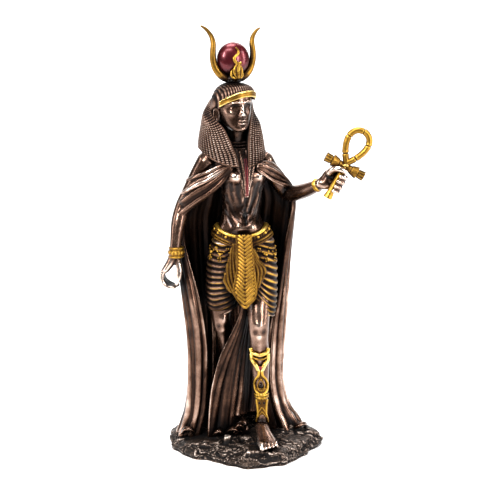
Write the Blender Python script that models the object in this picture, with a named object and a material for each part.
"""Figurine of an Egyptian goddess in cold-cast bronze: figure, cloak and rock in one casting,
with the horned sun crown and the ankh moulded apart and glued in.

Metres, +Z up. The front faces -Y and the origin is the centre of the base's underside.
The free form is drawn in design millimetres: DESIGN_HEIGHT of them make up HEIGHT.
"""
import math

import bmesh
import bpy
import numpy as np

# Driving sizes, in metres
HEIGHT = 0.280  # underside to the tips of the horns
GLUE_GAP = 0.0003  # clearance round a glued-in piece
CROWN_PEG_RADIUS = 0.0044
CROWN_PEG_DEPTH = 0.0030  # how far the peg stands in the wig
ANKH_ROD_RADIUS = 0.0021  # the loop, and the staff where the fist holds it
CLOAK_THICKNESS = 0.0030
APRON_THICKNESS = 0.0018
VOXEL = 0.00085  # fineness at which the forms of a casting are fused
FINE_VOXEL = 0.00055

# Triangles kept on each casting
BODY_TRIANGLES = 5200
HEAD_TRIANGLES = 2100
CROWN_TRIANGLES = 1000
ANKH_TRIANGLES = 820

DESIGN_HEIGHT = 280.0
UNIT = HEIGHT / DESIGN_HEIGHT  # one design millimetre, in metres

# Where the main masses stand, in design millimetres and degrees
HEAD_CENTRE = (-7.8, 0.5)
HEAD_YAW = 27.0
HEAD_ROLL = 0.07  # rise per millimetre to the viewer's right
CROWN_YAW = 22.0
CROWN_SEAT = 243.6  # top of the wig, where the crown stands
CHEST_CENTRE = (-1.6, 1.5)
CHEST_YAW = 15.0
ANKH_CENTRE = np.array((62.5, -22.0, 192.5))
ANKH_TILT = 28.0
ROCK_TOP = 9.0
CLOAK_FOLDS = 17
WIG_LOCKS = 24
RIB_PITCH = 4.3

MATERIALS = {
    # name: (red, green, blue), roughness, metallic
    "bronze": ((0.20, 0.14, 0.11), 0.38, 0.9),
    "gilt": ((0.78, 0.55, 0.18), 0.35, 0.95),
}


def material(name):
    found = bpy.data.materials.get(name)
    if found:
        return found
    colour, roughness, metallic = MATERIALS[name]
    made = bpy.data.materials.new(name)
    made.use_nodes = True
    shader = made.node_tree.nodes["Principled BSDF"]
    shader.inputs["Base Color"].default_value = (*colour, 1.0)
    shader.inputs["Roughness"].default_value = roughness
    shader.inputs["Metallic"].default_value = metallic
    return made


# Curves and closed shells. A shell is (points, faces), in design millimetres


def spline(rows, count):
    """A smooth curve through rows of numbers, read at count even steps."""
    rows = np.asarray(rows, float)
    padded = np.concatenate([2 * rows[:1] - rows[1:2], rows, 2 * rows[-1:] - rows[-2:-1]])
    at = np.linspace(0, len(rows) - 1, count)
    index = np.minimum(at.astype(int), len(rows) - 2)
    f = (at - index).reshape((-1,) + (1,) * (rows.ndim - 1))
    a, b, c, d = (padded[index + k] for k in range(4))
    return 0.5 * (2 * b + (c - a) * f + (2 * a - 5 * b + 4 * c - d) * f**2 + (3 * b - a - 3 * c + d) * f**3)


def grid_quads(rows, columns, wrap):
    """Faces of a grid of points; wrap joins its last column to its first."""
    quads = []
    for r in range(rows - 1):
        for c in range(columns if wrap else columns - 1):
            here, there = r * columns + c, r * columns + (c + 1) % columns
            quads.append((here, there, there + columns, here + columns))
    return quads


def skin(rings):
    """A closed shell over a stack of rings, with a fan at each end."""
    rings = np.asarray(rings, float)
    rows, columns, _ = rings.shape
    points = np.vstack([rings.reshape(-1, 3), rings[0].mean(0), rings[-1].mean(0)])
    first, last = rows * columns, rows * columns + 1
    faces = grid_quads(rows, columns, True)
    faces += [((c + 1) % columns, c, first) for c in range(columns)]
    top = (rows - 1) * columns
    faces += [(top + c, top + (c + 1) % columns, last) for c in range(columns)]
    return points, faces


def oval(sides, power=2.0):
    """Unit outline of a superellipse, as two columns."""
    turn = np.arange(sides) * 2 * math.pi / sides
    c, s = np.cos(turn), np.sin(turn)
    return np.sign(c) * abs(c) ** (2 / power), np.sign(s) * abs(s) ** (2 / power)


def column(stations, sides=20, steps=24, power=2.2):
    """Level ovals stacked up. A station is x, y, z, half width, half depth, yaw in degrees."""
    u, v = oval(sides, power)
    rings = []
    for x, y, z, wide, deep, yaw in spline(stations, steps):
        c, s = math.cos(math.radians(yaw)), math.sin(math.radians(yaw))
        side, back = wide * u, deep * v
        rings.append(np.stack([x + side * c - back * s, y + side * s + back * c, z + 0 * u], 1))
    return skin(rings)


def limb(stations, sides=12, steps=16, side=(0, 1, 0)):
    """Ovals square to a path, rounded off at both ends.

    A station is x, y, z, radius along side, radius across it.
    """
    rows = spline(stations, steps)
    path, radii = rows[:, :3], rows[:, 3:5]
    tangents = np.gradient(path, axis=0)
    u, v = oval(sides)
    rings = []
    for i, (p, t, (ra, rb)) in enumerate(zip(path, tangents, radii)):
        t = t / np.linalg.norm(t)
        b = np.cross(t, side)
        b = b / np.linalg.norm(b)
        ring = np.outer(u * ra, np.cross(b, t)) + np.outer(v * rb, b)
        if i == 0:
            rings += [p - t * rb * 0.85 + ring * 0.3, p - t * rb * 0.5 + ring * 0.78]
        rings.append(p + ring)
        if i == len(path) - 1:
            rings += [p + t * rb * 0.5 + ring * 0.78, p + t * rb * 0.85 + ring * 0.3]
    return skin(rings)


def rod(path, radii, **options):
    """A round limb; radii is one number, or one for each point."""
    radii = np.broadcast_to(radii, len(path))
    return limb([(*p, r, r) for p, r in zip(path, radii)], **options)


def ellipsoid(centre, radii, yaw=0.0, sides=16, rings=10):
    u, v = oval(sides)
    c, s = math.cos(math.radians(yaw)), math.sin(math.radians(yaw))
    stack = []
    for k in range(rings):
        lift = math.pi * (k + 0.5) / rings - math.pi / 2
        x, y = radii[0] * u * math.cos(lift), radii[1] * v * math.cos(lift)
        z = centre[2] + radii[2] * math.sin(lift) + 0 * u
        stack.append(np.stack([centre[0] + x * c - y * s, centre[1] + x * s + y * c, z], 1))
    return skin(stack)


def normals_of(surface):
    normal = np.cross(np.gradient(surface, axis=0), np.gradient(surface, axis=1))
    return normal / np.maximum(np.linalg.norm(normal, axis=2, keepdims=True), 1e-9)


def sheet(surface, thickness):
    """A closed shell of even thickness round an open grid of points."""
    surface = np.asarray(surface, float)
    rows, columns, _ = surface.shape
    offset = normals_of(surface) * thickness / 2
    points = np.vstack([(surface + offset).reshape(-1, 3), (surface - offset).reshape(-1, 3)])
    count = rows * columns
    outer = grid_quads(rows, columns, False)
    inner = [tuple(count + k for k in reversed(face)) for face in outer]
    rim = list(range(columns))
    rim += [r * columns + columns - 1 for r in range(1, rows)]
    rim += [(rows - 1) * columns + c for c in range(columns - 2, -1, -1)]
    rim += [r * columns for r in range(rows - 2, 0, -1)]
    edge = [(a, count + a, count + b, b) for a, b in zip(rim, rim[1:] + rim[:1])]
    return points, outer + inner + edge


def patch(curves, rows, columns):
    """Grid of points over a surface that passes through a few curves, set side by side."""
    return np.swapaxes(spline([spline(curve, rows) for curve in curves], columns), 0, 1)


def shares(rows, columns):
    """Shares down and across a grid, each from 0 to 1."""
    return np.linspace(0, 1, rows)[:, None], np.linspace(0, 1, columns)[None, :]


def ramp(x, low, high):
    """Smooth step from 0 at low to 1 at high."""
    t = np.clip((x - low) / (high - low), 0, 1)
    return t * t * (3 - 2 * t)


def turned(centre, yaw, roll=0.0):
    """Maps side, front and up in a turned frame to x, y, z. Side runs to the viewer's right."""
    c, s = math.cos(math.radians(yaw)), math.sin(math.radians(yaw))

    def place(side, front, up):
        return centre[0] + side * c + front * s, centre[1] + side * s - front * c, up + roll * side

    return place


# Rock base


def rock_reach(turn):
    """Distance from the origin to the rock's outline at an angle: a rounded point to the front."""
    left, right, front, back = 54.0, 52.5, 45.5, 43.0
    c, s = np.cos(turn), np.sin(turn)
    wide = np.where(c < 0, left, right)
    deep = np.where(s < 0, front, back)
    power = np.where(s < 0, 1.62, 2.15)
    reach = ((abs(c) / wide) ** power + (abs(s) / deep) ** power) ** (-1 / power)
    skew = 1 + 0.11 * np.exp(-(((turn - math.radians(292)) / 0.42) ** 2))
    skew = skew - 0.05 * np.exp(-(((turn - math.radians(246)) / 0.3) ** 2))
    chips = 0.9 * np.sin(7 * turn + 1) + 0.7 * np.sin(13 * turn + 2) + 0.5 * np.sin(23 * turn)
    return reach * skew + chips - 0.8


def rock():
    """Low slab of rock: ragged rim, a ledge and an uneven top. It runs on below the floor line."""
    turn = np.arange(84) * 2 * math.pi / 84
    reach = rock_reach(turn)
    rim = 0.8 * np.sin(5 * turn + 0.6) + 0.6 * np.sin(11 * turn)
    profile = [(0.97, -3.0), (0.97, 0.6), (1.0, 2.8), (0.985, 4.6), (0.95, 5.6), (0.925, 7.0), (0.86, 8.0)]
    profile += [(0.72, 8.7), (0.4, ROCK_TOP), (0.1, ROCK_TOP)]
    rings = []
    for share, z in profile:
        lift = rim * ramp(z, 1.0, 6.0) * ramp(share, 0.3, 0.9)
        rings.append(np.stack([reach * share * np.cos(turn), reach * share * np.sin(turn), z + lift], 1))
    return skin(rings)


# Body

TORSO = [
    (-2, 3, 112, 8, 7, 5),
    (-2, 3, 122, 17, 11, 5),
    (-2, 3, 132, 19.2, 12, 5),
    (-2, 3, 141, 18.6, 12.2, 5),
    (-2.4, 2.6, 148, 17.2, 11.8, 6),
    (-2.8, 1.8, 155, 13.4, 9.2, 10),
    (-2.9, 1.6, 162, 12.3, 8.2, 12),
    (-2.4, 1.5, 170, 12.9, 8.8, 14),
    (-2.0, 1.5, 178, 14.4, 9.6, 15),
    (-2.6, 1.5, 185, 17.0, 9.6, 16),
    (-4.8, 2.0, 191.5, 19.6, 8.4, 16),
    (-5.8, 2.5, 196.5, 18.6, 6.8, 16),
    (-5.6, 2.6, 200.5, 12.8, 6.4, 16),
    (-5.2, 2.2, 204, 7.8, 6.2, 18),
    (-5.0, 1.2, 209, 6.3, 6.2, 20),
    (-5.3, 0.6, 216, 6.4, 6.8, 24),
    (-6.0, 0.4, 222, 6.6, 7.2, 27),
]
RIGHT_ARM = [
    (-24.5, -3, 194, 7.0, 6.6),
    (-29.5, -2.5, 185, 6.3, 6.2),
    (-35.5, -1, 174, 5.6, 5.4),
    (-40.7, 0, 164, 5.0, 4.9),
    (-43.6, -2.0, 153, 5.3, 5.0),
    (-45.2, -4.5, 142, 4.2, 4.0),
    (-46.2, -6, 132.5, 3.2, 3.6),
]
LEFT_ARM = [
    (12.0, 6, 193.4, 6.4, 6.2),
    (16.4, 8.5, 185.6, 5.9, 5.8),
    (22.2, 11, 177.0, 5.4, 5.3),
    (27.6, 12.4, 170.5, 5.2, 5.2),
    (32.5, 6.0, 171.2, 5.5, 5.4),
    (39.5, -4.5, 174.9, 4.8, 4.8),
    (46.6, -14.5, 179.6, 3.4, 3.9),
    (48.6, -17, 181, 3.3, 3.9),
]
LEFT_LEG = [
    (7.5, 1, 128, 11.5, 12),
    (8.4, -5, 112, 9.6, 10.2),
    (8.6, -12, 99, 7.4, 7.8),
    (8.6, -16.5, 87, 6.3, 6.7),
    (8.9, -15.6, 78, 5.6, 6.0),
    (9.5, -12.0, 64, 5.3, 6.3),
    (10.1, -10.5, 50, 4.5, 5.4),
    (10.8, -10.0, 34, 3.3, 3.9),
    (11.2, -9.6, 20, 3.1, 3.6),
]
RIGHT_LEG = [
    (-12, 3, 128, 11.5, 12),
    (-14.5, 1, 112, 9.4, 10),
    (-15.8, -0.5, 98, 7.4, 7.8),
    (-15.4, -0.8, 86, 6.3, 6.6),
    (-13.4, 3.0, 74, 5.7, 6.1),
    (-10.8, 8.5, 58, 5.4, 6.4),
    (-8.0, 13.0, 40, 4.2, 4.7),
    (-6.2, 14.0, 27, 3.4, 3.9),
    (-5.2, 12.0, 20, 3.7, 4.0),
]


# Swellings of the chest and belly: side, height, half width, half height, push to the front
CHEST = [
    (-8.6, 184.6, 5.2, 5.0, 4.6),
    (8.6, 184.6, 5.2, 5.0, 4.6),
    (-8.8, 183.0, 3.6, 3.0, 1.6),
    (8.8, 183.0, 3.6, 3.0, 1.6),
    (-1.0, 151.5, 8.0, 5.6, 2.6),
]
# Kneecap, the dimples below it and the shin, on a leg
KNEE = [
    (0.0, 88.0, 3.2, 3.4, 1.5),
    (0.0, 81.0, 1.8, 1.8, 0.7),
    (-2.6, 84.0, 1.4, 1.6, -0.5),
    (2.6, 84.0, 1.4, 1.6, -0.5),
    (0.6, 70.0, 1.6, 9.0, 0.5),
    (-3.4, 95.0, 2.4, 5.0, 0.7),
    (3.2, 94.0, 2.2, 5.0, 0.6),
]


def swell(points, centre, yaw, marks):
    """Pushes what faces the front, in a turned frame, outwards by soft rounded marks."""
    c, s = math.cos(math.radians(yaw)), math.sin(math.radians(yaw))
    dx, dy = points[:, 0] - centre[0], points[:, 1] - centre[1]
    side, front = dx * c + dy * s, dx * s - dy * c
    push = 0 * side
    for at, up, across, tall, depth in marks:
        push = push + depth * np.exp(-(((side - at) / across) ** 2) - ((points[:, 2] - up) / tall) ** 2)
    push = push * ramp(front, 0, 4)
    return points + np.outer(push, (s, -c, 0))


def torso():
    points, faces = column(TORSO, sides=40, steps=80, power=2.3)
    return [(swell(points, CHEST_CENTRE, CHEST_YAW, CHEST), faces)]


def cloak_backing():
    """Solid stock between the figure's back and the cloak."""
    stations = [(0, 18, 5, 18, 9, 0), (-4, 17, 60, 15, 7, 0), (-4, 14, 110, 14, 9, 0)]
    stations += [(-4, 12, 150, 11, 9, 0), (-5, 9, 185, 14, 8, 0), (-6, 6, 200, 10, 6, 0)]
    return column(stations, sides=18, steps=30)


# Levels of the head: height, half width, reach to the front, reach to the back
HEAD = [
    (212.9, 2.8, 11.6, 7.8),
    (214.3, 5.0, 13.0, 3.2),
    (216.8, 7.2, 13.3, -2.0),
    (220.2, 8.7, 13.2, -7.0),
    (224.0, 9.8, 13.1, -11.0),
    (228.0, 10.6, 13.0, -13.2),
    (232.0, 10.9, 13.5, -14.0),
    (236.0, 10.3, 12.8, -13.4),
    (239.4, 8.2, 9.8, -10.6),
    (241.6, 4.2, 5.0, -5.6),
    (242.2, 0.6, 0.8, -0.8),
]
# Swellings of a plain, regular face: side, height, half width, half height, push to the front
FACE = [
    (0.0, 227.6, 1.2, 2.8, 1.5),
    (0.0, 224.0, 1.5, 1.5, 2.5),
    (1.7, 223.4, 1.0, 0.9, 0.9),
    (4.3, 228.9, 2.6, 1.9, -1.7),
    (4.4, 228.3, 1.9, 1.2, 1.1),
    (4.2, 231.8, 3.4, 1.0, 0.5),
    (6.6, 225.0, 2.2, 2.0, 0.6),
    (0.0, 220.0, 2.6, 0.8, 0.9),
    (0.0, 218.3, 2.1, 0.8, 0.9),
    (0.0, 216.7, 2.6, 0.7, -0.5),
    (0.0, 214.8, 2.4, 1.4, 0.8),
]


def head(sides=40, steps=40):
    place = turned(HEAD_CENTRE, HEAD_YAW, HEAD_ROLL)
    u, v = oval(sides, 2.3)
    rings = []
    for z, wide, front, back in spline(HEAD, steps):
        side = wide * v
        reach = (front + back) / 2 + (front - back) / 2 * u
        facing = ramp(u, 0.0, 0.7)
        for at, up, across, tall, push in FACE:
            for sign in (-1, 1) if at else (1,):
                swell = np.exp(-(((side - sign * at) / across) ** 2) - ((z - up) / tall) ** 2)
                reach = reach + push * swell * facing
        rings.append(np.stack(place(side, reach, z), 1))
    parts = [skin(rings)]
    for side in (-1, 1):
        parts.append(ellipsoid(place(11.0 * side, -0.6, 225.2), (1.3, 2.3, 4.0), HEAD_YAW))
    return parts


def toes(root, spread, heading, reach, count=5, radius=1.5):
    """Toes fanned out ahead of the ball of a foot; the first is the big toe."""
    c, s = math.cos(math.radians(heading)), math.sin(math.radians(heading))
    made = []
    for k in range(count):
        across = spread * (k / (count - 1) - 0.5)
        size = radius * (1.3 if k == 0 else 1.0 - 0.06 * k)
        length = reach * (1.0 - 0.1 * k)
        x, y, z = root[0] + across * c, root[1] + across * s, root[2]
        knuckle = (x + 0.5 * length * s, y - 0.5 * length * c, z + 1.5)
        tip = (x + length * s, y - length * c, z)
        made.append(rod([(x, y, z + 1.2), knuckle, tip], [size, size * 1.05, size * 0.9], sides=10, steps=7))
    return made


def legs():
    parts = []
    for levels, centre in ((LEFT_LEG, (8.7, -14.5)), (RIGHT_LEG, (-15.3, 0.5))):
        points, faces = limb(levels, sides=30, steps=90)
        parts.append((swell(points, centre, 3, KNEE), faces))
    left = [(10.2, -5, 13.4, 4.2, 3.8), (11.0, -12, 15.2, 4.4, 5.0), (12.4, -20, 13.8, 5.0, 4.2)]
    left += [(13.8, -27, 12.0, 6.0, 3.0), (14.4, -30.5, 11.2, 6.0, 2.4)]
    parts.append(limb(left, side=(1, 0, 0), sides=14, steps=16))
    parts += toes((14.4, -30.0, 10.4), 10.4, 14, 6.8)
    right = [(-6.0, 14, 22, 3.9, 4.2), (-5.2, 8, 17, 4.3, 4.2), (-4.0, 2, 12.8, 5.2, 2.9)]
    parts.append(limb(right, side=(1, 0, 0), sides=14, steps=12))
    parts += toes((-3.6, 0.5, 10.2), 8.8, 6, 6.0)
    return parts


def right_hand():
    """Hanging hand, its fingers bent round an empty grip."""
    palm = [(-46.2, -6, 134, 3.2, 3.4), (-48.5, -5.2, 128, 4.6, 3.0), (-52, -4.4, 122.5, 5.0, 2.6)]
    parts = [limb(palm, sides=12, steps=10)]
    for k in range(4):
        y, curl = -6.6 + 2.9 * k, 0.9 * k
        path = [(-51.5, y, 123), (-54.4, y, 119.6), (-54.4 + 0.3 * curl, y - 0.3, 114.6)]
        path += [(-51.4 + curl, y - 0.5, 111.0), (-47.2 + curl, y - 0.7, 110.4)]
        parts.append(rod(path, [1.8, 1.8, 1.65, 1.55, 1.25], sides=10, steps=12))
    thumb = [(-45.2, -6.4, 130), (-43.2, -8.2, 124.4), (-43.2, -9.0, 118.6), (-45.0, -9.0, 113.4)]
    parts.append(rod(thumb, [2.3, 1.95, 1.75, 1.25], sides=10, steps=10))
    return parts


def ankh_frame():
    """Maps along the crossbar, towards the viewer and up the staff to x, y, z."""
    c, s = math.cos(math.radians(ANKH_TILT)), math.sin(math.radians(ANKH_TILT))
    across, toward, up = np.array((c, 0, -s)), np.array((0, -1, 0)), np.array((s, 0, c))
    return lambda a, t, u: ANKH_CENTRE + a * across + t * toward + u * up


GRIP = [-5.2, -8.7, -12.2, -15.5]  # how far below the crossbar each finger lies
FINGER = 1.65
ALONG_STAFF = (0.469, 0, 0.883)


def fist():
    """Left fist closed round the ankh's staff; its fingertips face the viewer."""
    at = ankh_frame()
    ring = ANKH_ROD_RADIUS / UNIT + FINGER + 0.1
    parts = []
    for k, up in enumerate(GRIP):
        size = FINGER * (1.0 - 0.05 * k)
        turns = np.radians([150, 100, 50, 5, -40, -85])
        path = [at(ring * math.cos(t) * 1.04, -ring * math.sin(t), up - 0.25 * j) for j, t in enumerate(turns)]
        sizes = size * np.array([1.1, 1.1, 1.08, 1.05, 1.0, 0.85])
        parts.append(rod(path, sizes, sides=10, steps=16, side=ALONG_STAFF))
    palm = [(47.6, -15.6, 180.2, 3.6, 3.9), (51.0, -17.2, 182.0, 5.4, 3.6), (54.6, -17.6, 184.0, 7.0, 3.4)]
    parts.append(limb(palm, side=ALONG_STAFF, sides=14, steps=10))
    thumb = [at(-6.4, -1.0, -8.0), at(-5.6, 2.6, -4.6), at(-2.4, 4.6, -2.6), at(1.8, 4.4, -2.4)]
    parts.append(rod(thumb, [2.6, 2.1, 1.8, 1.4], sides=10, steps=10))
    return parts


# Dress. A thigh's level is x, y, z, half width, half depth, slant of its ribs
LEFT_WRAP = [
    (9.6, -8.5, 97, 8.4, 9.4, -0.75),
    (9.4, -6.5, 103, 9.8, 10.6, -0.6),
    (8.6, -2.5, 116, 11.4, 12.2, -0.4),
    (7.4, 1.6, 132, 12.2, 12.6, -0.2),
    (5.4, 3, 142, 12.0, 12.2, 0),
]
RIGHT_WRAP = [
    (-12.6, 3, 94, 8.8, 9.6, 0.2),
    (-14.4, 2.4, 100, 10.2, 10.8, 0.22),
    (-13.4, 2.6, 116, 11.8, 12.4, 0.25),
    (-11.2, 2.8, 132, 12.6, 12.6, 0.15),
    (-9, 3, 142, 12.0, 12.2, 0),
]


def wraps():
    """Cloth wound round each thigh in rounded ribs."""
    parts = []
    u, v = oval(24)
    for levels in (LEFT_WRAP, RIGHT_WRAP):
        rings = []
        for x, y, z, wide, deep, slant in spline(levels, 64):
            rib = 1.25 * abs(math.sin(math.pi * (z - 92) / RIB_PITCH)) ** 0.55 - 0.25
            side, back = (wide + rib) * u, (deep + rib) * v
            sag = slant * wide * u
            if levels is RIGHT_WRAP:
                sag = sag + 3.2 * ramp(u, -0.3, 1.0) - 1.2
            rings.append(np.stack([x + side, y + back, z + sag], 1))
        parts.append(skin(rings))
    return parts


def hip_ring(turn, grow=0.0):
    """Point round the hips; turn 0 is the front, and the ring rises towards the back."""
    x = -2.4 + (17.6 + grow) * math.sin(turn)
    y = 2.6 - (12.6 + grow) * math.cos(turn)
    return x, y, 144.0 + 3.6 * (1 - math.cos(turn))


def belt():
    surface = []
    for k in range(41):
        turn = math.radians(4 + 352 * k / 40)
        low, high = hip_ring(turn, 0.9), hip_ring(turn, -0.5)
        surface.append([(high[0], high[1], high[2] + 2.7), hip_ring(turn, 0.4), (low[0], low[1], low[2] - 2.7)])
    roll = [hip_ring(math.radians(8 + 344 * k / 30), 0.8) for k in range(31)]
    return [sheet(surface, 1.8), rod([(x, y, z - 4.0) for x, y, z in roll], 1.2, sides=8, steps=50)]


def apron():
    left = [(-6.0, -13.4, 147), (-5.6, -15.0, 139), (-5.5, -16.4, 130), (-6.2, -17.6, 121)]
    left += [(-7.2, -18.8, 111.6), (-5.2, -19.8, 106), (-0.9, -20.6, 100.6)]
    right = [(3.8, -13.8, 147), (4.6, -15.4, 139), (5.6, -17.2, 130), (6.3, -19.0, 121)]
    right += [(7.0, -20.6, 111.6), (5.8, -21.0, 106), (0.6, -20.8, 100.6)]
    middle = (np.array(left) + np.array(right)) / 2 + np.array((0, -1.1, 0))
    behind_left = [(-8, -12.0, 141), (-11.2, -13.0, 129.4), (-13.9, -13.6, 117), (-10.6, -14.6, 110.4)]
    under_left = [(-4, -13, 141), (-4, -14.6, 129.4), (-4, -16, 117), (-4, -17, 106)]
    under_right = [(3, -13.6, 138), (4, -15.2, 130), (4, -17, 124.6), (4, -18, 114)]
    behind_right = [(5.2, -13.6, 138), (8.4, -14.6, 130), (12, -15.8, 124.6), (7.6, -17.8, 114)]
    thickness = APRON_THICKNESS / UNIT
    parts = [sheet(patch([left, middle, right], 18, 7), thickness * 1.1)]
    parts.append(sheet(patch([behind_left, under_left], 12, 5), thickness))
    parts.append(sheet(patch([under_right, behind_right], 12, 5), thickness))
    return parts


def train():
    """Long inner skirt falling between the legs and swept to the viewer's left."""
    left = [(-1, -12, 106), (-4.9, -12, 90), (-11.5, -10.5, 75), (-17.6, -9.6, 61)]
    left += [(-22.6, -9.4, 44), (-24.6, -9, 26), (-25.6, -9, 7)]
    right = [(3, -8, 106), (3.4, -4.5, 90), (4.2, -1.5, 75), (5, 1, 61)]
    right += [(6, 3.4, 44), (6.4, 5, 26), (6.6, 6, 10)]
    middle = (np.array(left) + np.array(right)) / 2 + np.array((0.3, -2.0, 0))
    rows, columns = 34, 30
    down, across = shares(rows, columns)
    surface = patch([left, middle, right], rows, columns)
    strength = 0.5 + 1.1 * ramp(down, 0.1, 0.8)
    wave = np.cos(2 * math.pi * (3.2 * across + 0.35 * down))
    surface += normals_of(surface) * (wave * strength)[..., None]
    surface[:, :, 2] += ramp(down, 0.7, 1.0) * (10.5 * ramp(across, 0.4, 0.6) + 1.0)
    return [sheet(surface, 2.4)]


# Cloak at each height: the outermost point on either side, how its front edges curl in, the back
# z, left x, left y, left curl, left turn, right x, right y, right curl, right turn, back y
CLOAK = [
    (4, -46.5, 6, 9.0, 120, 39.5, 17, 12.0, 178, 37),
    (14, -42.6, 6, 8.2, 120, 33.2, 16, 9.2, 172, 34),
    (26, -39.4, 6, 7.8, 120, 26.4, 14, 6.2, 160, 31),
    (45, -37.8, 7, 7.4, 122, 22.6, 13, 5.0, 145, 28),
    (72, -38.2, 8, 7.4, 122, 23.8, 12, 5.2, 125, 26),
    (100, -41.4, 8, 7.4, 118, 26.4, 12, 4.6, 110, 25),
    (130, -44.4, 7, 4.4, 112, 29.0, 15, 3.4, 90, 24),
    (152, -45.8, 6, 3.2, 90, 31.4, 16, 3.0, 70, 23),
    (166, -42.0, 5, 3.0, 60, 31.8, 15, 3.0, 60, 22),
    (180, -35.4, 5, 2.0, 50, 25.6, 14, 2.5, 60, 19),
    (192, -26.5, 6, 1.5, 40, 16.6, 12, 2.0, 50, 15),
    (204, -18.0, 8, 1.0, 30, 8.6, 11, 1.0, 40, 11),
]
CURL_SHARE = 0.16  # share of the cloak's width taken by each curled front edge


def cloak_outline(levels, across):
    """Plan points of the cloak at shares across, from its left front edge to its right one."""
    left_x, left_y, left_curl, left_turn = (levels[..., k] for k in range(1, 5))
    right_x, right_y, right_curl, right_turn, back = (levels[..., k] for k in range(5, 10))
    inner = np.clip((across - CURL_SHARE) / (1 - 2 * CURL_SHARE), 0, 1)
    swing = (inner - 0.5) * math.pi
    x = (left_x + right_x) / 2 + (right_x - left_x) / 2 * np.sin(swing)
    depth = back - (left_y + right_y) / 2
    y = left_y + (right_y - left_y) * inner + depth * abs(np.cos(swing)) ** 0.9
    for first, share, sign, at_x, at_y, curl, turn in (
        (across < CURL_SHARE, (CURL_SHARE - across) / CURL_SHARE, 1, left_x, left_y, left_curl, left_turn),
        (across > 1 - CURL_SHARE, (across - 1) / CURL_SHARE + 1, -1, right_x, right_y, right_curl, right_turn),
    ):
        angle = np.radians(turn) * share
        x = np.where(first, at_x + sign * curl * (1 - np.cos(angle)), x)
        y = np.where(first, at_y - 1.25 * curl * np.sin(angle), y)
    return x, y


def cloak():
    rows, columns = 56, 120
    down, across = shares(rows, columns)
    top = 182 + 21 * ramp(across, 0.08, 0.4) - 17 * ramp(across, 0.7, 0.97)
    hem = 6.4 + 1.4 * (1 + np.cos(2 * math.pi * CLOAK_FOLDS * across))
    z = top + (hem - top) * down
    table = spline(CLOAK, 240)
    levels = np.stack([np.interp(z, table[:, 0], table[:, k]) for k in range(10)], -1)
    surface = np.stack([*cloak_outline(levels, across), z], -1)
    drift = 0.5 * np.sin(3 * math.pi * across) * down
    wave = np.cos(2 * math.pi * (CLOAK_FOLDS * across + drift))
    wave = wave + 0.35 * np.cos(2 * math.pi * (9 * across - drift) + 1)
    strength = 0.3 + 1.5 * ramp(down, 0.05, 0.95)
    strength = strength * (0.5 + 0.5 * ramp(across, 0, 0.06) * ramp(1 - across, 0, 0.06))
    surface += normals_of(surface) * (wave * strength)[..., None]
    return [sheet(surface, CLOAK_THICKNESS / UNIT)]


def swags():
    """Cloth drawn from the breast over each upper arm to the elbow."""
    upper = [(-8.6, -11.5, 192.6), (-15.5, -11.5, 191.4), (-23.4, -11.8, 187.8), (-31.2, -8.6, 184.4)]
    upper += [(-36.2, -1.5, 181.6), (-35.0, 6.0, 181.0), (-27, 11, 182)]
    lower = [(-8.4, -11.6, 189.6), (-15.0, -13.0, 180.4), (-22.6, -13.0, 173.2), (-31.7, -10.6, 166.4)]
    lower += [(-41.6, -6.0, 158.6), (-46.0, 4.0, 156.0), (-40, 13, 158)]
    middle = (np.array(upper) + np.array(lower)) / 2 + np.array((-0.8, -1.4, 0))
    down, across = shares(34, 20)
    right = patch([upper, middle, lower], 34, 20)
    right += normals_of(right) * (0.6 * np.cos(6 * math.pi * across) * ramp(down, 0.0, 0.25))[..., None]
    front = [(6.6, -8.4, 190.2), (10.7, -7.2, 186.0), (16.6, -2.4, 181.0), (23.6, 3.4, 177.0)]
    front += [(29.6, 7.4, 173.6), (34.0, 10.4, 166)]
    crest = [(8.1, -8.8, 192.0), (12.6, -6.8, 192.6), (17.4, -1.6, 190.8), (21.8, 4.2, 185.8)]
    crest += [(27.4, 10.0, 178.6), (32.2, 14.0, 168.6)]
    back = [(9, 9.0, 194.0), (12, 12.0, 191.5), (16, 14.6, 187), (22, 16.6, 181)]
    back += [(28, 18.6, 173), (31, 19.0, 165)]
    down, across = shares(28, 24)
    left = patch([front, crest, back], 28, 24)
    left += normals_of(left) * (0.5 * np.cos(8 * math.pi * across) * ramp(down, 0.0, 0.25))[..., None]
    return [sheet(right, 2.4), sheet(left, 2.4)]


# Hanging hair at each height: middle, half width, half depth, angles left open either side of the face
WIG = [
    (233, -8.4, 1.0, 12.2, 13.2, 82, 106),
    (230, -8.7, 1.4, 13.8, 14.0, 80, 104),
    (226, -9.2, 2.0, 15.4, 14.6, 72, 102),
    (222, -9.5, 2.4, 16.6, 14.4, 46, 92),
    (218, -9.5, 2.9, 17.3, 14.2, 24, 70),
    (214, -9.5, 3.2, 18.0, 14.0, 12, 48),
    (206, -9.4, 3.6, 19.4, 14.6, 0, 36),
    (198, -9.0, 3.6, 20.0, 16.2, -6, 34),
    (190, -8.6, 3.4, 19.6, 17.2, -12, 36),
]


# Front edges of the hair, left of the face and right of it: height, x, y
HAIR_EDGES = [
    [(233, -19.4, -0.6), (227, -19.4, -2.6), (221, -15.8, -6.0), (215, -13.4, -8.2), (209, -10.8, -10.2)]
    + [(203, -8.4, -11.6), (198, -6.2, -12.4), (190, -4.4, -12.8)],
    [(233, 5.0, 3.2), (227, 5.4, 1.2), (220, 4.8, -2.0), (214, 3.4, -5.4), (206, 2.0, -8.2)]
    + [(198, 1.4, -10.4), (190, 1.4, -11.4)],
]
EDGE_SHARE = 0.13  # share of the hair that is drawn in towards each edge
CAP_FULLNESS = 0.77  # under 1 for a dome fuller than an ellipsoid


def band_height(turn):
    """Height of the headband round the head; turn 0 is the face."""
    return 229.8 + 6.0 * np.cos(turn) + 3.6 * np.sin(turn)


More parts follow.
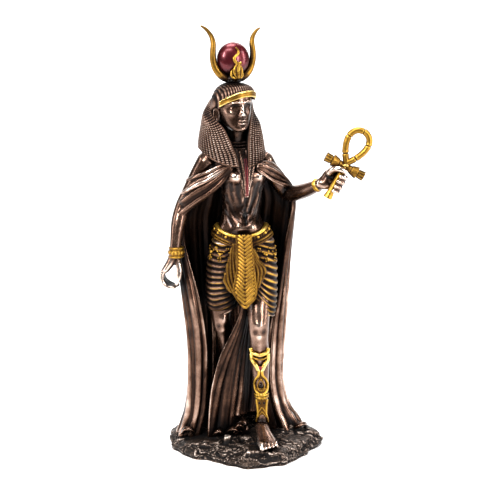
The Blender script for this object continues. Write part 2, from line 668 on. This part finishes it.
def cap_foot(turn):
    """Lower edge of the close hair: it covers the band's end and runs over and behind the ear."""
    away = (np.degrees(turn) + 180) % 360 - 180
    lock = np.exp(-(((abs(away) - 64) / 6) ** 4))
    over_ear = np.exp(-(((abs(away) - 86) / 13) ** 4))
    return band_height(turn) - 2.4 * lock + 2.6 * over_ear - 4.0 * ramp(abs(away), 102, 115)


def wig_cap(sides=90, rings=22):
    """Close-fitting hair above the headband."""
    place = turned(HEAD_CENTRE, HEAD_YAW)
    turn = np.arange(sides) * 2 * math.pi / sides
    base = cap_foot(turn)
    stack = [np.stack(place(9.5 * np.sin(turn), 11 * np.cos(turn) - 1, base + 1), 1)]
    for k in range(rings):
        lift = math.pi / 2 * k / (rings - 1) * 0.97
        shrink, rise = math.cos(lift) ** CAP_FULLNESS, math.sin(lift) ** CAP_FULLNESS
        side = 14.4 * np.sin(turn) * shrink
        front = -1.2 + np.where(np.cos(turn) > 0, 15.2, 16.0) * np.cos(turn) * shrink
        stack.append(np.stack(place(side, front, base + (CROWN_SEAT - base) * rise), 1))
    return skin(stack)


def wig():
    """Hair hanging in locks, open round the face and the throat."""
    rows, columns = 34, 6 * WIG_LOCKS
    down, across = shares(rows, columns)
    table = spline(WIG, 160)[::-1]
    foot = 191.6 + 10.0 * ramp(across, 0.02, 0.26) * ramp(1 - across, 0.02, 0.26)
    z = 232.0 + (foot - 232.0) * down
    x, y, wide, deep, left, right = (np.interp(z, table[:, 0], table[:, k]) for k in range(1, 7))
    angle = np.radians(-left - (360 - left - right) * across)
    px, py = x + wide * np.sin(angle), y - deep * np.cos(angle)
    for rows_of_edge, turn, near in zip(HAIR_EDGES, (-left, right), (across, 1 - across)):
        edge = spline(rows_of_edge, 80)[::-1]
        pull = 1 - ramp(near, 0, EDGE_SHARE)
        px = px + pull * (np.interp(z, edge[:, 0], edge[:, 1]) - x - wide * np.sin(np.radians(turn)))
        py = py + pull * (np.interp(z, edge[:, 0], edge[:, 2]) - y + deep * np.cos(np.radians(turn)))
    surface = np.stack([px, py, z], -1)
    locks = 0.5 * abs(np.sin(math.pi * WIG_LOCKS * across)) * ramp(down, 0.02, 0.2)
    surface -= normals_of(surface) * locks[..., None]
    fill_left = [(-17, 1, 227), (-15.5, -2, 216), (-14.6, -3.5, 206), (-14, -6, 195)]
    fill_right = [(3.5, 4, 227), (4.6, 0, 216), (5.6, -2, 206), (6, -4, 195)]
    parts = [sheet(surface, 3.4), rod(fill_left, [4, 4.6, 5.2, 5.2]), rod(fill_right, [3.6, 4.2, 5, 5])]
    return [*parts, wig_cap()]


def headband():
    """Band across the brow; both ends pass under the hair."""
    place = turned(HEAD_CENTRE, HEAD_YAW)
    loop = []
    for turn in np.radians(np.linspace(-67, 67, 41)):
        tuck = 1.8 * ramp(abs(math.degrees(turn)), 58, 67)
        reach = -1.2 + (15.3 - tuck) * math.cos(turn)
        x, y, z = place((14.4 - tuck) * math.sin(turn), reach, band_height(turn))
        loop.append([(x, y, z + 1.7), (x, y, z), (x, y, z - 1.7)])
    return [sheet(loop, 1.8)]


def necklace():
    """Broad strip from the throat down the breastbone."""
    chest = turned(CHEST_CENTRE, CHEST_YAW)
    left = [chest(-7.0, 7.4, 201), chest(-6.0, 10.4, 193), chest(-3.4, 10.8, 182), chest(-1.2, 10.2, 171)]
    right = [chest(2.5, 7.4, 201), chest(3.6, 10.4, 193), chest(1.9, 10.8, 182), chest(0.2, 10.2, 171)]
    middle = (np.array(left) + np.array(right)) / 2 + np.array((0, -0.6, 0))
    return [sheet(patch([left, middle, right], 16, 7), 1.6)]


def greave():
    """Gilt guard down the front of the left shin, and the cuffs at the wrists."""
    shin = spline(LEFT_LEG, 60)[::-1]
    rows = []
    for z in np.linspace(65, 21, 18):
        x, y, wide, deep = (np.interp(z, shin[:, 2], shin[:, k]) for k in (0, 1, 3, 4))
        turns = np.radians(np.linspace(-80, 80, 11))
        rows.append([(x + (wide + 0.5) * math.sin(t), y - (deep + 0.5) * math.cos(t), z) for t in turns])
    bracelet = [(-45.4, -5.6, 130.8, 4.9, 4.9, 0), (-45.3, -5.4, 132.4, 5.3, 5.3, 0)]
    bracelet += [(-45.1, -5.0, 135.6, 5.3, 5.3, 0), (-44.9, -4.8, 137.4, 4.9, 4.9, 0)]
    cuff = [(45.6, -13.2, 179.1, 4.5, 4.9), (46.6, -14.6, 179.7, 4.5, 4.9)]
    return [sheet(rows, 1.6), column(bracelet, sides=18, steps=7), limb(cuff, sides=16, steps=3)]


# Castings


def mesh_object(name, shells, finish):
    """One object holding closed shells, scaled from design millimetres to metres."""
    points, faces, start = [], [], 0
    for shell_points, shell_faces in shells:
        points.append(np.asarray(shell_points, float))
        faces += [tuple(start + k for k in face) for face in shell_faces]
        start += len(shell_points)
    mesh = bpy.data.meshes.new(name)
    mesh.from_pydata((np.vstack(points) * UNIT).tolist(), [], faces)
    mesh.materials.append(material(finish))
    work = bmesh.new()
    work.from_mesh(mesh)
    bmesh.ops.recalc_face_normals(work, faces=work.faces)
    work.to_mesh(mesh)
    work.free()
    made = bpy.data.objects.new(name, mesh)
    bpy.context.scene.collection.objects.link(made)
    return made


def fuse(made, voxel, triangles):
    """Fuses overlapping shells into one skin, evens it out and keeps about that many triangles."""
    remesh = made.modifiers.new("fuse", "REMESH")
    remesh.mode = "VOXEL"
    remesh.voxel_size = voxel
    soften = made.modifiers.new("soften", "SMOOTH")
    soften.factor = 0.5
    soften.iterations = 2
    bpy.context.view_layer.update()
    faces = len(made.evaluated_get(bpy.context.evaluated_depsgraph_get()).data.polygons)
    thin = made.modifiers.new("thin", "DECIMATE")
    thin.ratio = triangles / (2 * faces)
    thin.use_collapse_triangulate = True


def combine(made, tool, operation, name):
    tool.hide_render = True
    tool.display_type = "WIRE"
    modifier = made.modifiers.new(name, "BOOLEAN")
    modifier.operation = operation
    modifier.solver = "EXACT"
    modifier.object = tool


def cylinder(centre, radius, low, high, sides=32):
    u, v = oval(sides)
    return skin([np.stack([centre[0] + radius * u, centre[1] + radius * v, 0 * u + z], 1) for z in (low, high)])


def figure():
    shells = [rock(), *torso(), cloak_backing(), *legs(), *right_hand(), *fist()]
    shells += [limb(RIGHT_ARM, sides=16, steps=36), limb(LEFT_ARM, sides=16, steps=36)]
    shells += [*wraps(), *belt(), *apron(), *train(), *cloak(), *swags(), *necklace(), *greave()]
    made = mesh_object("figure", shells, "bronze")
    fuse(made, VOXEL, BODY_TRIANGLES)
    head_stock = mesh_object("head_stock", [*head(), *wig(), *headband()], "bronze")
    fuse(head_stock, FINE_VOXEL, HEAD_TRIANGLES)
    combine(made, head_stock, "UNION", "head and hair")

    corners = [(-90, -90), (90, -90), (90, 90), (-90, 90)]
    floor = mesh_object("floor_cutter", [skin([[(x, y, z) for x, y in corners] for z in (-20, 0)])], "bronze")
    combine(made, floor, "DIFFERENCE", "flat underside")

    seat = turned(HEAD_CENTRE, CROWN_YAW)(0, 0, 0)
    peg = (CROWN_PEG_RADIUS + GLUE_GAP) / UNIT
    depth = (CROWN_PEG_DEPTH + GLUE_GAP) / UNIT
    socket = mesh_object("socket_cutter", [cylinder(seat, peg, CROWN_SEAT - depth, CROWN_SEAT + 12)], "bronze")
    combine(made, socket, "DIFFERENCE", "crown socket")

    at = ankh_frame()
    hole = (ANKH_ROD_RADIUS + GLUE_GAP) / UNIT
    path = [at(0, 0, 2), at(0, 0, -10), at(0, 0, -26)]
    grip = mesh_object("grip_cutter", [rod(path, [hole, hole * 1.02, hole * 1.36], sides=16, steps=9)], "bronze")
    combine(made, grip, "DIFFERENCE", "grip")


def crown():
    """Horns and sun disc with a rearing cobra, on a peg."""
    place = turned(HEAD_CENTRE, CROWN_YAW)
    peg, depth = CROWN_PEG_RADIUS / UNIT, CROWN_PEG_DEPTH / UNIT
    shells = [cylinder(place(0, 0, 0), peg, CROWN_SEAT - depth, CROWN_SEAT + 3)]
    shells.append(ellipsoid(place(0, 0, 246.4), (5.4, 4.4, 2.4), CROWN_YAW))
    shells.append(ellipsoid(place(0, 0, 258.2), (10.8, 7.2, 10.8), CROWN_YAW, sides=28, rings=18))
    horn = [(2.4, 0.4, 245.8), (5.4, 0.4, 246.4), (8.8, 0.4, 248.6), (11.8, 0, 252.6), (13.4, 0, 257.8)]
    horn += [(13.6, 0, 263), (13.2, -0.6, 268.6), (14.2, -1.8, 273.4), (17.0, -3.2, 277.6), (20.0, -4.2, 279.7)]
    radii = [2.2, 2.5, 2.5, 2.4, 2.2, 2.0, 1.8, 1.5, 1.1, 0.6]
    for side in (-1, 1):
        shells.append(rod([place(side * s, f, z) for s, f, z in horn], radii, sides=12, steps=40))
    cobra = [(0, 4.6, 245.4), (0, 7.6, 248.4), (0.2, 8.8, 252.4), (0.6, 9.8, 255.6), (0.8, 11.0, 256.6)]
    shells.append(rod([place(*p) for p in cobra], [1.6, 1.8, 1.9, 1.3, 1.0], sides=10, steps=16))
    shells.append(ellipsoid(place(0, 8.2, 251.2), (3.6, 1.4, 4.0), CROWN_YAW))
    tail = [(0.6, 8.4, 255.4), (-1.4, 7.8, 257.6), (-1.8, 7.5, 259.6), (0.4, 7.3, 261.8), (0.0, 6.0, 264.6)]
    shells.append(rod([place(*p) for p in tail], [1.2, 1.0, 0.95, 0.9, 0.6], sides=8, steps=16))
    fuse(mesh_object("sun_crown", shells, "gilt"), FINE_VOXEL, CROWN_TRIANGLES)


def ankh():
    """Looped cross; its staff widens towards the foot."""
    at = ankh_frame()
    bar = ANKH_ROD_RADIUS / UNIT
    staff = [at(0, 0, 1), at(0, 0, -8), at(0, 0, -18), at(0, 0, -22.4)]
    shells = [rod(staff, [bar, bar, bar * 1.12, bar * 1.36], sides=14, steps=12)]
    for sign in (-1, 1):
        arm = [(0, 1.9), (3, 2.1), (9.0, 3.3), (9.6, 2.7), (14.2, 2.7)]
        shells.append(rod([at(sign * a, 0, 0) for a, _ in arm], [r for _, r in arm], sides=14, steps=18))
    loop = []
    for k in range(41):
        t = 2 * math.pi * k / 40
        loop.append(at(8.9 * math.sin(t) * abs(math.sin(t / 2)), 0, 13.6 - 11.2 * math.cos(t)))
    shells.append(rod(loop, bar, sides=12, steps=60))
    fuse(mesh_object("ankh", shells, "gilt"), FINE_VOXEL, ANKH_TRIANGLES)


def main():
    for old in list(bpy.data.objects):
        bpy.data.objects.remove(old)
    figure()
    crown()
    ankh()


main()
